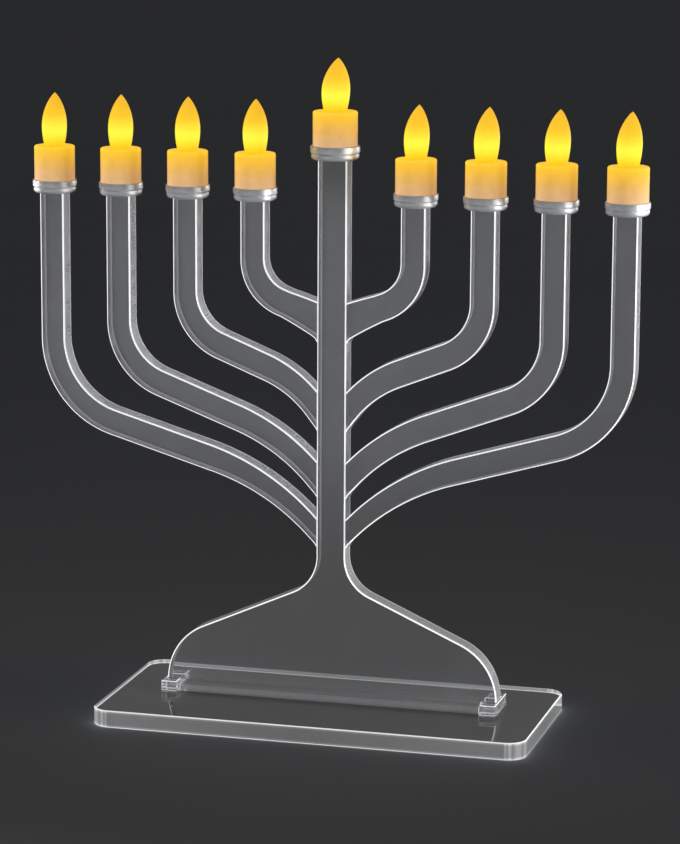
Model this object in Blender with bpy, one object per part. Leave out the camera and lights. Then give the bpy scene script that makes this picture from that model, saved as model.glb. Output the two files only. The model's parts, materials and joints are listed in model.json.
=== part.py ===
"""Nine-branch menorah in clear acrylic sheet, with lift-out LED candles.

Metres, +Z up, origin on the table under the middle of the base plate.  The front
of the menorah faces -Y.  The upright is a sawn sheet panel: a stem that widens
into a bell-shaped foot, with eight S-shaped arms cemented to its two sides.
"""

import math

import bmesh
import bpy
from mathutils import Vector

# ---------------------------------------------------------------- sizes (metres)
GAP = 0.0003                    # clearance kept wherever two pieces touch

BASE_WIDTH = 0.392
BASE_DEPTH = 0.180
BASE_THICKNESS = 0.0155
BASE_CORNER_RADIUS = 0.017
BASE_EDGE_CHAMFER = 0.0006

PANEL_THICKNESS = 0.019
PANEL_SET_BACK = 0.010          # the upright stands this far behind the base's middle
STEM_WIDTH = 0.026
STEM_TOP = 0.4990               # underside of the centre cup
WAIST_RADIUS = 0.037            # stem side into bell
BELL_SLOPE = math.radians(24.0)
BELL_SHOULDER_RADIUS = 0.055    # bell slope into its upright end
BELL_HALF_WIDTH = 0.152
BELL_LINE_HEIGHT = 0.1274       # where the two bell slopes would cross the middle line

RAIL_DEPTH = 0.011
RAIL_FRONT_HEIGHT = 0.0062
RAIL_BACK_HEIGHT = 0.0090       # against the panel, so the top slopes outwards
CLIP_LENGTH = 0.0145
CLIP_WRAP = 0.0023              # clip material past the panel's end
CLIP_HEIGHT = 0.0090
CLIP_REACH = 0.0140             # how far a clip stands out from the panel's face
CLIP_ROUNDING = 0.0022

ARM_WIDTH = 0.0217
ARM_TOP = 0.4605                # underside of the eight outer cups
ARM_CHAMFER = 0.0005
FILLET_RADIUS = 0.009           # under each arm, where it runs into the stem

# Each arm, from the outer pair to the inner pair: distance of its upright tip from
# the middle, slope of its straight stretch, height where that stretch would reach
# the middle line, radius of the upper bend, radius of the bend at the stem, where
# that bend ends, and its width at the stem and along the straight stretch.
ARM_SHAPES = {
    "outer": dict(tip=0.2585, slope=16.4, height=0.1965, bend=0.078, root_bend=0.212,
                  root_end=0.111, root_width=0.0172, mid_width=0.0230),
    "second": dict(tip=0.1965, slope=20.6, height=0.2346, bend=0.059, root_bend=0.178,
                   root_end=0.086, root_width=0.0210, mid_width=0.0235),
    "third": dict(tip=0.1345, slope=21.7, height=0.2900, bend=0.051, root_bend=0.106,
                  root_end=0.060, root_width=0.0215, mid_width=0.0240),
    "inner": dict(tip=0.0725, slope=21.0, height=0.3545, bend=0.040, root_bend=0.400,
                  root_end=0.042, root_width=0.0300, mid_width=0.0242),
}
ARM_ORDER = ("outer", "second", "third", "inner")

TURN_SEGMENTS = 16              # sides of every turned piece, so that fits stay even

# Cup and candle sizes: the eight branch candles, and the taller centre one (shamash).
BRANCH = dict(cup_radius=0.0195, cup_height=0.0115, candle_radius=0.0180,
              body_height=0.0353, flame_height=0.0466, flame_radius=0.0111)
CENTRE = dict(cup_radius=0.0217, cup_height=0.0121, candle_radius=0.0196,
              body_height=0.0350, flame_height=0.0460, flame_radius=0.0124)
SEAT_DEPTH = 0.0052             # candle's depth in its cup
SHELL_WALL = 0.0016
SHELL_TOP = 0.0020
FLAME_WALL = 0.0012
FLAME_NECK = 0.80               # of the flame's greatest radius, where it leaves the body
FLAME_WIDEST = 0.38             # share of its height at which the flame is widest
FLAME_LEAN = 0.0026             # sideways lean of the flame's tip
CAP_THICKNESS = 0.0050
BATTERY_BOX_RADIUS = 0.0118
BATTERY_BOX_TOP = 0.0140
LED_POST_RADIUS = 0.0035
LED_RADIUS = 0.0025

SWITCH_LENGTH = 0.0040
SWITCH_WIDTH = 0.0034
SWITCH_HEIGHT = 0.0014
SWITCH_TRAVEL = 0.0030
SWITCH_OFFSET = 0.0060          # of the switch from the candle's middle, towards -Y

MATERIALS = {
    "clear_acrylic": dict(colour=(0.86, 0.89, 0.90, 1.0), roughness=0.05, metallic=0.0),
    "polished_aluminium": dict(colour=(0.80, 0.81, 0.83, 1.0), roughness=0.20, metallic=1.0),
    "ivory_plastic": dict(colour=(0.86, 0.72, 0.50, 1.0), roughness=0.45, metallic=0.0),
    "flame_diffuser": dict(colour=(1.00, 0.78, 0.16, 1.0), roughness=0.35, metallic=0.0),
    "white_plastic": dict(colour=(0.80, 0.80, 0.78, 1.0), roughness=0.50, metallic=0.0),
    "black_plastic": dict(colour=(0.03, 0.03, 0.03, 1.0), roughness=0.50, metallic=0.0),
}


# ---------------------------------------------------------------- general helpers
def clear_scene():
    for found in list(bpy.data.objects):
        bpy.data.objects.remove(found, do_unlink=True)


def make_material(name):
    spec = MATERIALS[name]
    material = bpy.data.materials.get(name) or bpy.data.materials.new(name)
    material.use_nodes = True
    shader = material.node_tree.nodes["Principled BSDF"]
    shader.inputs["Base Color"].default_value = spec["colour"]
    shader.inputs["Roughness"].default_value = spec["roughness"]
    shader.inputs["Metallic"].default_value = spec["metallic"]
    material.diffuse_color = spec["colour"]
    return material


def add_object(name, mesh, material_name, location=(0.0, 0.0, 0.0), parent=None, turn=0.0):
    """Link a mesh as a named object with its own material, under an empty if given."""
    made = bpy.data.objects.new(name, mesh)
    bpy.context.scene.collection.objects.link(made)
    made.location = location
    made.rotation_euler = (0.0, 0.0, turn)
    made.parent = parent
    if not mesh.materials:
        mesh.materials.append(make_material(material_name))
    return made


def add_empty(name, location, parent=None):
    made = bpy.data.objects.new(name, None)
    bpy.context.scene.collection.objects.link(made)
    made.location = location
    made.parent = parent
    return made


def mesh_from_bmesh(name, shape):
    bmesh.ops.recalc_face_normals(shape, faces=shape.faces)
    mesh = bpy.data.meshes.new(name)
    shape.to_mesh(mesh)
    shape.free()
    return mesh


def extrude_outline(name, outline, start, depth, along="Y"):
    """A solid prism: outline is (y, z), (x, z) or (x, y), for along="X", "Y" or "Z"."""
    shape = bmesh.new()
    if along == "X":
        near = [shape.verts.new((start, y, z)) for y, z in outline]
        push = Vector((depth, 0.0, 0.0))
    elif along == "Y":
        near = [shape.verts.new((x, start, z)) for x, z in outline]
        push = Vector((0.0, depth, 0.0))
    else:
        near = [shape.verts.new((x, y, start)) for x, y in outline]
        push = Vector((0.0, 0.0, depth))
    face = shape.faces.new(near)
    grown = bmesh.ops.extrude_face_region(shape, geom=[face])
    moved = [item for item in grown["geom"] if isinstance(item, bmesh.types.BMVert)]
    bmesh.ops.translate(shape, verts=moved, vec=push)
    return mesh_from_bmesh(name, shape)


def add_chamfer(made, width, angle=math.radians(50)):
    bevel = made.modifiers.new("Chamfer", "BEVEL")
    bevel.width = width
    bevel.segments = 1
    bevel.limit_method = "ANGLE"
    bevel.angle_limit = angle
    return bevel


def turn_profile(name, profile):
    """Spin a closed (radius, height) profile about the Z axis.

    Points on the axis have radius 0, and the stretch between two of them is left out.
    Neighbouring rings are joined by quads, or by triangles next to the axis.
    """
    shape = bmesh.new()
    rings = []
    for radius, height in profile:
        if radius == 0.0:
            rings.append([shape.verts.new((0.0, 0.0, height))])
            continue
        ring = []
        for step in range(TURN_SEGMENTS):
            angle = 2.0 * math.pi * step / TURN_SEGMENTS
            ring.append(shape.verts.new((radius * math.cos(angle),
                                         radius * math.sin(angle), height)))
        rings.append(ring)
    for index, ring in enumerate(rings):
        following = rings[(index + 1) % len(rings)]
        for step in range(TURN_SEGMENTS):
            after = (step + 1) % TURN_SEGMENTS
            corners = [ring[step % len(ring)], ring[after % len(ring)],
                       following[after % len(following)], following[step % len(following)]]
            unique = list(dict.fromkeys(corners))
            if len(unique) > 2:
                shape.faces.new(unique)
    mesh = mesh_from_bmesh(name, shape)
    mesh.shade_smooth()
    mesh.set_sharp_from_angle(angle=math.radians(35))
    return mesh


def cut_away(made, cutter_mesh, name, location, parent=None):
    """Subtract a hidden cutter from an object with an exact Boolean."""
    cutter = bpy.data.objects.new(name, cutter_mesh)
    bpy.context.scene.collection.objects.link(cutter)
    cutter.location = location
    cutter.parent = parent
    cutter.hide_render = True
    cutter.display_type = "WIRE"
    boolean = made.modifiers.new("Cut", "BOOLEAN")
    boolean.operation = "DIFFERENCE"
    boolean.solver = "EXACT"
    boolean.object = cutter


def block_mesh(name, low, high):
    outline = [(low[0], low[1]), (high[0], low[1]), (high[0], high[1]), (low[0], high[1])]
    return extrude_outline(name, outline, low[2], high[2] - low[2], along="Z")


def arc_points(centre, radius, start, end, steps):
    """Points along an arc, both ends included; angles in radians."""
    points = []
    for step in range(steps + 1):
        angle = start + (end - start) * step / steps
        points.append((centre[0] + radius * math.cos(angle),
                       centre[1] + radius * math.sin(angle)))
    return points


# ---------------------------------------------------------------- base plate
def build_base_plate():
    half_x = BASE_WIDTH / 2 - BASE_CORNER_RADIUS
    half_y = BASE_DEPTH / 2 - BASE_CORNER_RADIUS
    outline = []
    for quarter, (side_x, side_y) in enumerate(((1, 1), (-1, 1), (-1, -1), (1, -1))):
        start = quarter * math.pi / 2
        outline += arc_points((side_x * half_x, side_y * half_y), BASE_CORNER_RADIUS,
                              start, start + math.pi / 2, 8)
    mesh = extrude_outline("base_plate", outline, 0.0, BASE_THICKNESS, along="Z")
    made = add_object("base_plate", mesh, "clear_acrylic")
    add_chamfer(made, BASE_EDGE_CHAMFER)


# ---------------------------------------------------------------- stem and bell foot
def bell_side():
    """The right side of the stem and bell, from the stem's top down to the base."""
    half = STEM_WIDTH / 2
    slope = math.tan(BELL_SLOPE)

    def line_height(x):
        return BELL_LINE_HEIGHT - slope * x

    # Both arcs turn from the slope to the vertical, and touch both lines.
    reach = math.tan((math.pi / 2 - BELL_SLOPE) / 2)
    waist_top = line_height(half) + WAIST_RADIUS * reach
    waist_centre = (half + WAIST_RADIUS, waist_top)
    shoulder_bottom = line_height(BELL_HALF_WIDTH) - BELL_SHOULDER_RADIUS * reach
    shoulder_centre = (BELL_HALF_WIDTH - BELL_SHOULDER_RADIUS, shoulder_bottom)
    points = [(half, STEM_TOP - GAP)]
    points += arc_points(waist_centre, WAIST_RADIUS, math.pi, 1.5 * math.pi - BELL_SLOPE, 8)
    points += arc_points(shoulder_centre, BELL_SHOULDER_RADIUS,
                         math.pi / 2 - BELL_SLOPE, 0.0, 9)
    points.append((BELL_HALF_WIDTH, BASE_THICKNESS + GAP))
    return points


def build_stem_panel():
    right = bell_side()
    left = [(-x, z) for x, z in reversed(right)]
    start = PANEL_SET_BACK - PANEL_THICKNESS / 2
    mesh = extrude_outline("stem_panel", right + left, start, PANEL_THICKNESS)
    made = add_object("stem_panel", mesh, "clear_acrylic")
    add_chamfer(made, ARM_CHAMFER)


# ---------------------------------------------------------------- arms
def arm_centreline(spec):
    """Centre line of a right arm from the stem outwards: (x, z, direction, width)."""
    slope = math.radians(spec["slope"])
    stem_side = STEM_WIDTH / 2 + GAP
    end_x = spec["root_end"]
    root_slope = math.asin(math.sin(slope) + (end_x - stem_side) / spec["root_bend"])
    end_z = spec["height"] + math.tan(slope) * end_x
    line = []
    root_steps = 7
    for step in range(root_steps + 1):
        share = step / root_steps
        angle = root_slope + (slope - root_slope) * share
        x = end_x - spec["root_bend"] * (math.sin(angle) - math.sin(slope))
        z = end_z - spec["root_bend"] * (math.cos(slope) - math.cos(angle))
        width = spec["root_width"] + (spec["mid_width"] - spec["root_width"]) * share
        line.append((x, z, angle, width))
    bend_x = spec["tip"] - spec["bend"] * (1 - math.sin(slope))
    bend_z = spec["height"] + math.tan(slope) * bend_x
    bend_steps = 9
    for step in range(bend_steps + 1):
        share = step / bend_steps
        angle = slope + (math.pi / 2 - slope) * share
        x = bend_x + spec["bend"] * (math.sin(angle) - math.sin(slope))
        z = bend_z + spec["bend"] * (math.cos(slope) - math.cos(angle))
        width = spec["mid_width"] + (ARM_WIDTH - spec["mid_width"]) * share
        line.append((x, z, angle, width))
    return line


def slide_to_side(edge, side_x):
    """Move an edge's first point along its first stretch until it lies on the stem."""
    (x0, z0), (x1, z1) = edge[0], edge[1]
    share = (side_x - x0) / (x1 - x0)
    return [(side_x, z0 + share * (z1 - z0))] + edge[1:]


def drop_points_inside(edge, side_x):
    """Leave out leading points that lie inside the stem's side."""
    while edge[1][0] <= side_x + GAP:
        edge = edge[1:]
    return edge


def root_fillet(edge, side_x):
    """Round the corner under an arm, between its lower edge and the stem's side."""
    (x0, z0), (x1, z1) = edge[0], edge[1]
    rise = math.atan2(z1 - z0, x1 - x0)
    # The circle touches the stem's side and the arm's first stretch from below.
    reach = FILLET_RADIUS * math.tan((math.pi / 2 - rise) / 2)
    centre = (side_x + FILLET_RADIUS, z0 - reach)
    # Stop short of the sharp feather edge that a full tangent arc would leave.
    start = math.pi - math.radians(18)
    end = math.pi / 2 + rise
    arc = arc_points(centre, FILLET_RADIUS, start, end, 5)
    return [(side_x, arc[0][1])] + arc + edge[1:]


def arm_outline(spec):
    line = arm_centreline(spec)
    side_x = STEM_WIDTH / 2 + GAP
    upper = []
    lower = []
    for x, z, angle, width in line:
        shift_x = -math.sin(angle) * width / 2
        shift_z = math.cos(angle) * width / 2
        upper.append((x + shift_x, z + shift_z))
        lower.append((x - shift_x, z - shift_z))
    upper = slide_to_side(drop_points_inside(upper, side_x), side_x)
    lower = slide_to_side(drop_points_inside(lower, side_x), side_x)
    lower = root_fillet(lower, side_x)
    top = ARM_TOP - GAP
    return lower + [(lower[-1][0], top), (upper[-1][0], top)] + list(reversed(upper))


def build_arm(place, side):
    outline = arm_outline(ARM_SHAPES[place])
    if side == "left":
        outline = [(-x, z) for x, z in reversed(outline)]
    name = side + "_" + place + "_arm"
    start = PANEL_SET_BACK - PANEL_THICKNESS / 2
    mesh = extrude_outline(name, outline, start, PANEL_THICKNESS)
    add_object(name, mesh, "clear_acrylic")


# ---------------------------------------------------------------- foot rails and clips
def build_rail(name, facing):
    """A bar with a sloping top along the foot; facing is -1 for the front, 1 for the rear."""
    half = BELL_HALF_WIDTH + CLIP_WRAP - CLIP_LENGTH - GAP
    near = PANEL_SET_BACK + facing * (PANEL_THICKNESS / 2 + GAP)
    far = near + facing * RAIL_DEPTH
    bottom = BASE_THICKNESS + GAP
    outline = [(near, bottom), (far, bottom), (far, bottom + RAIL_FRONT_HEIGHT),
               (near, bottom + RAIL_BACK_HEIGHT)]
    mesh = extrude_outline(name, outline, -half, 2 * half, along="X")
    made = add_object(name, mesh, "clear_acrylic")
    add_chamfer(made, ARM_CHAMFER)


def build_end_clip(name, side):
    """A U-shaped clip that straddles one end of the bell foot; side is -1 or 1."""
    outer = BELL_HALF_WIDTH + CLIP_WRAP
    inner = outer - CLIP_LENGTH
    half_depth = PANEL_THICKNESS / 2 + CLIP_REACH
    slot = PANEL_THICKNESS / 2 + GAP
    slot_end = BELL_HALF_WIDTH + GAP
    low_left = PANEL_SET_BACK - half_depth
    outline = [(inner, low_left)]
    outline += arc_points((outer - CLIP_ROUNDING, low_left + CLIP_ROUNDING), CLIP_ROUNDING,
                          -math.pi / 2, 0.0, 4)
    outline += arc_points((outer - CLIP_ROUNDING, PANEL_SET_BACK + half_depth - CLIP_ROUNDING),
                          CLIP_ROUNDING, 0.0, math.pi / 2, 4)
    outline.append((inner, PANEL_SET_BACK + half_depth))
    outline.append((inner, PANEL_SET_BACK + slot))
    outline.append((slot_end, PANEL_SET_BACK + slot))
    outline.append((slot_end, PANEL_SET_BACK - slot))
    outline.append((inner, PANEL_SET_BACK - slot))
    if side < 0:
        outline = [(-x, y) for x, y in reversed(outline)]
    mesh = extrude_outline(name, outline, BASE_THICKNESS + GAP, CLIP_HEIGHT, along="Z")
    add_object(name, mesh, "clear_acrylic")


# ---------------------------------------------------------------- cups
def cup_mesh(name, size):
    """A turned cup: recess for the candle, flared rim, groove, rounded lower edge."""
    radius = size["cup_radius"]
    height = size["cup_height"]
    seat = size["candle_radius"] + GAP
    profile = [
        (0.0, 0.0),
        (radius - 0.0036, 0.0),
        (radius - 0.0016, 0.0016),
        (radius - 0.0010, 0.0040),
        (radius - 0.0010, height * 0.52),
        (radius, height * 0.62),
        (radius, height - 0.0005),
        (radius - 0.0005, height),
        (seat, height),
        (seat, height - SEAT_DEPTH),
        (0.0, height - SEAT_DEPTH),
    ]
    return turn_profile(name, profile)


# ---------------------------------------------------------------- candles
def shell_mesh(name, size):
    """Ivory outer shell: a drum open below, with a hole on top for the flame."""
    radius = size["candle_radius"]
    height = size["body_height"]
    hole = size["flame_radius"] * FLAME_NECK + GAP
    inside = radius - SHELL_WALL
    profile = [
        (radius, 0.0),
        (radius, height - 0.0020),
        (radius - 0.0006, height - 0.0006),
        (radius - 0.0020, height),
        (hole, height - 0.0004),
        (hole, height - SHELL_TOP),
        (inside, height - SHELL_TOP),
        (inside, 0.0),
    ]
    return turn_profile(name, profile)


def flame_outline_radius(share, size):
    """Radius of the flame's outside at a share of its height above the body."""
    full = size["flame_radius"]
    if share < FLAME_WIDEST:
        lift = (FLAME_WIDEST - share) / FLAME_WIDEST
        return full * (1.0 - (1.0 - FLAME_NECK) * lift ** 2)
    fall = (share - FLAME_WIDEST) / (1.0 - FLAME_WIDEST)
    return full * (1.0 - fall ** 2) ** 0.85


def flame_mesh(name, size):
    """Hollow teardrop diffuser with a flange that the shell's top holds down."""
    height = size["body_height"]
    tall = size["flame_height"]
    neck = size["flame_radius"] * FLAME_NECK
    flange = neck + 0.0020
    flange_top = height - SHELL_TOP - GAP
    flange_bottom = flange_top - 0.0012
    profile = [(flange, flange_bottom), (flange, flange_top), (neck, flange_top)]
    for share in (0.0, 0.12, 0.27, 0.42, 0.57, 0.71, 0.83, 0.93):
        profile.append((flame_outline_radius(share, size), height + share * tall))
    profile.append((0.0, height + tall))
    profile.append((0.0, height + 0.84 * tall))
    for share in (0.76, 0.57, 0.35, 0.12):
        profile.append((flame_outline_radius(share, size) - FLAME_WALL, height + share * tall))
    profile.append((neck - FLAME_WALL, height))
    profile.append((neck - FLAME_WALL, flange_bottom))
    mesh = turn_profile(name, profile)
    for corner in mesh.vertices:
        share = max(0.0, (corner.co.z - height) / tall)
        corner.co.x += FLAME_LEAN * share ** 2
    return mesh


def light_unit_mesh(name, size):
    """Bottom cap, battery box and LED post of one candle, with the LED on top."""
    cap = size["candle_radius"] - SHELL_WALL - GAP
    post_top = size["body_height"] + 0.0035
    profile = [
        (0.0, 0.0),
        (cap, 0.0),
        (cap, CAP_THICKNESS),
        (BATTERY_BOX_RADIUS, CAP_THICKNESS),
        (BATTERY_BOX_RADIUS, BATTERY_BOX_TOP),
        (LED_POST_RADIUS, BATTERY_BOX_TOP),
        (LED_POST_RADIUS, post_top),
        (LED_RADIUS, post_top),
        (LED_RADIUS, post_top + 0.0060),
        (LED_RADIUS * 0.6, post_top + 0.0080),
        (0.0, post_top + 0.0086),
    ]
    return turn_profile(name, profile)


def switch_pocket_mesh():
    """Cutter for the slot that the switch slides in, open through the underside."""
    half = (SWITCH_LENGTH + SWITCH_TRAVEL) / 2 + GAP
    width = SWITCH_WIDTH / 2 + GAP
    return block_mesh("switch_pocket", (-half, -width - SWITCH_OFFSET, -0.001),
                      (half, width - SWITCH_OFFSET, SWITCH_HEIGHT + 3 * GAP))


def switch_mesh():
    """Sliding button, drawn at its off position, at the -X end of its slot."""
    low_x = -(SWITCH_LENGTH + SWITCH_TRAVEL) / 2
    half = SWITCH_WIDTH / 2
    return block_mesh("switch_slider", (low_x, -half - SWITCH_OFFSET, 2 * GAP),
                      (low_x + SWITCH_LENGTH, half - SWITCH_OFFSET, 2 * GAP + SWITCH_HEIGHT))


def build_candle(place, x, cup_bottom, size, flame_turn, meshes):
    """One cup with its candle: shell, flame, light unit and switch on a lift-out empty."""
    y = PANEL_SET_BACK
    add_object(place + "_cup", meshes["cup"], "polished_aluminium", (x, y, cup_bottom))
    seat_height = cup_bottom + size["cup_height"] - SEAT_DEPTH + GAP
    lift = add_empty(place + "_candle_lift", (x, y, seat_height))
    add_object(place + "_candle_shell", meshes["shell"], "ivory_plastic", parent=lift)
    add_object(place + "_flame", meshes["flame"], "flame_diffuser", parent=lift,
               turn=flame_turn)
    unit = add_object(place + "_light_unit", meshes["unit"], "white_plastic", parent=lift)
    cut_away(unit, meshes["pocket"], place + "_switch_pocket", (0.0, 0.0, 0.0), lift)
    add_object(place + "_switch", meshes["switch"], "black_plastic", parent=lift)


def candle_meshes(prefix, size):
    return dict(cup=cup_mesh(prefix + "_cup", size),
                shell=shell_mesh(prefix + "_shell", size),
                flame=flame_mesh(prefix + "_flame", size),
                unit=light_unit_mesh(prefix + "_light_unit", size),
                pocket=switch_pocket_mesh(),
                switch=switch_mesh())


# ---------------------------------------------------------------- whole menorah
def build_menorah():
    clear_scene()
    build_base_plate()
    build_stem_panel()
    build_rail("front_rail", -1)
    build_rail("rear_rail", 1)
    build_end_clip("left_end_clip", -1)
    build_end_clip("right_end_clip", 1)
    branch = candle_meshes("branch", BRANCH)
    for side, sign in (("left", -1), ("right", 1)):
        # The flames' tips lean to the right, or to the back on the left side.
        flame_turn = math.radians(90) if side == "left" else 0.0
        for place in ARM_ORDER:
            build_arm(place, side)
            build_candle(side + "_" + place, sign * ARM_SHAPES[place]["tip"], ARM_TOP, BRANCH,
                         flame_turn, branch)
    build_candle("centre", 0.0, STEM_TOP, CENTRE, 0.0, candle_meshes("centre", CENTRE))


build_menorah()
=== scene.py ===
import json
import math

import bmesh
import bpy
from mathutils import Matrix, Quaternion, Vector


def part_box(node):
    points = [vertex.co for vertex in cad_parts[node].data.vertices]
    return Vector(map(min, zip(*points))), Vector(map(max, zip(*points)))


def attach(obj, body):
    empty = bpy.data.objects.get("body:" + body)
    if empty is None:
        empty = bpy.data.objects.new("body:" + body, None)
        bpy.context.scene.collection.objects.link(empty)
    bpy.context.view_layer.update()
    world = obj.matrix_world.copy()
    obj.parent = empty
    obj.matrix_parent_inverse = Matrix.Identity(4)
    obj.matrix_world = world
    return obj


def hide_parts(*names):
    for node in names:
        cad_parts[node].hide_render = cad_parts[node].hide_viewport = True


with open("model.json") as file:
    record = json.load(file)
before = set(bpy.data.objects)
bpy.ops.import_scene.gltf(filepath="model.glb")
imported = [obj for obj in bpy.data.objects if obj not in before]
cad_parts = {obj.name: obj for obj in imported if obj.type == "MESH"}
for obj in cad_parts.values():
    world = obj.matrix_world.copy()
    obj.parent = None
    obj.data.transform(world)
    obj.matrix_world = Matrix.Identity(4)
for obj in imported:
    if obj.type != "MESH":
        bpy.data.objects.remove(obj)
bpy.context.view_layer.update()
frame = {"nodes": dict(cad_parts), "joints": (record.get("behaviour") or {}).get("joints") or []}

armPlaces = ["outer", "second", "third", "inner"]
candlePlaces = [side + "_" + place for side in ("left", "right") for place in armPlaces]
candlePlaces.append("centre")
gap = 0.0003  # cement and fitting gap between neighbours


# small tools for nodes

def addNode(tree, kind, **inputs):
    node = tree.nodes.new("ShaderNode" + kind)
    for name, value in inputs.items():
        node.inputs[name.replace("_", " ")].default_value = value
    return node


def join(tree, source, target):
    tree.links.new(source, target)


def calculate(tree, operation, first, second=0.0):
    node = tree.nodes.new("ShaderNodeMath")
    node.operation = operation
    for socket, value in zip(node.inputs, (first, second)):
        if isinstance(value, (int, float)):
            socket.default_value = value
        else:
            join(tree, value, socket)
    return node.outputs[0]


def rescale(tree, value, lowIn, highIn, lowOut, highOut):
    node = addNode(tree, "MapRange", From_Min=lowIn, From_Max=highIn)
    join(tree, value, node.inputs["Value"])
    for name, limit in (("To Min", lowOut), ("To Max", highOut)):
        if isinstance(limit, (int, float)):
            node.inputs[name].default_value = limit
        else:
            join(tree, limit, node.inputs[name])
    return node.outputs["Result"]


def coordinate(tree, kind, axis):
    # one number of the object's own place or facing
    coords = tree.nodes.new("ShaderNodeTexCoord")
    split = tree.nodes.new("ShaderNodeSeparateXYZ")
    join(tree, coords.outputs[kind], split.inputs["Vector"])
    return split.outputs[axis]


def stretchedNoise(tree, stretch, detail=3.0, roughness=0.5):
    coords = tree.nodes.new("ShaderNodeTexCoord")
    mapping = addNode(tree, "Mapping", Scale=stretch)
    join(tree, coords.outputs["Object"], mapping.inputs["Vector"])
    noise = addNode(tree, "TexNoise", Scale=1.0, Detail=detail, Roughness=roughness)
    join(tree, mapping.outputs["Vector"], noise.inputs["Vector"])
    return noise.outputs["Fac"]


def scaledColour(tree, factor, colour):
    node = tree.nodes.new("ShaderNodeVectorMath")
    node.operation = "SCALE"
    if isinstance(colour, (tuple, list)):
        node.inputs[0].default_value = colour
    else:
        join(tree, colour, node.inputs[0])
    join(tree, factor, node.inputs["Scale"])
    return node.outputs["Vector"]


def colourRamp(tree, value, stops):
    node = tree.nodes.new("ShaderNodeValToRGB")
    band = node.color_ramp
    band.elements[0].position = stops[0][0]
    band.elements[0].color = (*stops[0][1], 1.0)
    band.elements[1].position = stops[-1][0]
    band.elements[1].color = (*stops[-1][1], 1.0)
    for place, colour in stops[1:-1]:
        band.elements.new(place).color = (*colour, 1.0)
    band.interpolation = "B_SPLINE"
    join(tree, value, node.inputs["Fac"])
    return node.outputs["Color"]


def newGroup(name, inputs, outputs):
    tree = bpy.data.node_groups.new(name, "ShaderNodeTree")
    for label, value in inputs:
        socket = tree.interface.new_socket(name=label, in_out="INPUT", socket_type="NodeSocketFloat")
        socket.default_value = value
    for label, kind in outputs:
        tree.interface.new_socket(name=label, in_out="OUTPUT", socket_type=kind)
    return tree, tree.nodes.new("NodeGroupInput").outputs, tree.nodes.new("NodeGroupOutput").inputs


def useGroup(tree, group, **inputs):
    node = tree.nodes.new("ShaderNodeGroup")
    node.node_tree = group
    for name, value in inputs.items():
        node.inputs[name.replace("_", " ")].default_value = value
    return node.outputs


def newMaterial(name, colour, roughness, **sockets):
    material = bpy.data.materials.new(name)
    material.use_nodes = True
    tree = material.node_tree
    shader = tree.nodes["Principled BSDF"]
    shader.inputs["Base Color"].default_value = (*colour, 1.0)
    shader.inputs["Roughness"].default_value = roughness
    for socket, value in sockets.items():
        shader.inputs[socket.replace("_", " ")].default_value = value
    return material, tree, shader.inputs


def addBump(tree, height, shader, bumpLook):
    strength, distance = bumpLook
    bump = addNode(tree, "Bump", Strength=strength, Distance=distance)
    join(tree, height, bump.inputs["Height"])
    join(tree, bump.outputs["Normal"], shader["Normal"])


# shared surface effects: noise scales, and how far each one changes the surface

marks = {
    "smudgeScale": (14, 14, 9), "hairScale": (900, 900, 16), "crossScale": (22, 900, 1100),
    "waveScale": (26, 26, 26), "hairRough": 0.12, "hairDeep": 0.02, "hazeLow": 0.90,
    "sawSqueeze": (1.0, 0.03, 1.0), "sawCloudScale": (60, 20, 60), "sawShare": 0.6,
    "sawRough": (0.85, 1.15), "sawShadeLow": 0.90,
    "rubbedScale": (120, 120, 120), "rubbedRough": (0.75, 1.15), "rubbedShadeLow": 0.92,
    "waxFineScale": (1500, 1500, 1500), "waxFineShare": 0.15,
}


def makeHandlingMarks():
    # wiped smudges, hairline scratches and a faint waviness on polished sheet
    tree, given, out = newGroup("handlingMarks", [("Polish", 0.03), ("Smudge", 0.1)],
                                [("Roughness", "NodeSocketFloat"), ("Height", "NodeSocketFloat"),
                                 ("Haze", "NodeSocketFloat")])
    smudge = rescale(tree, stretchedNoise(tree, marks["smudgeScale"], 4.0, 0.62),
                     0.50, 0.72, 0.0, 1.0)
    hairs = stretchedNoise(tree, marks["hairScale"], 2.0)
    cross = stretchedNoise(tree, marks["crossScale"], 2.0)
    lines = calculate(tree, "MAXIMUM", rescale(tree, hairs, 0.66, 0.74, 0.0, 1.0),
                      rescale(tree, cross, 0.67, 0.75, 0.0, 1.0))
    worn = calculate(tree, "MULTIPLY", smudge, given["Smudge"])
    scored = calculate(tree, "MULTIPLY", lines, marks["hairRough"])
    rough = calculate(tree, "ADD", calculate(tree, "ADD", given["Polish"], worn), scored)
    join(tree, rough, out["Roughness"])
    wave = stretchedNoise(tree, marks["waveScale"], 1.0)
    cuts = calculate(tree, "MULTIPLY", lines, marks["hairDeep"])
    join(tree, calculate(tree, "SUBTRACT", wave, cuts), out["Height"])
    join(tree, rescale(tree, smudge, 0.0, 1.0, marks["hazeLow"], 1.0), out["Haze"])
    return tree


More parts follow.
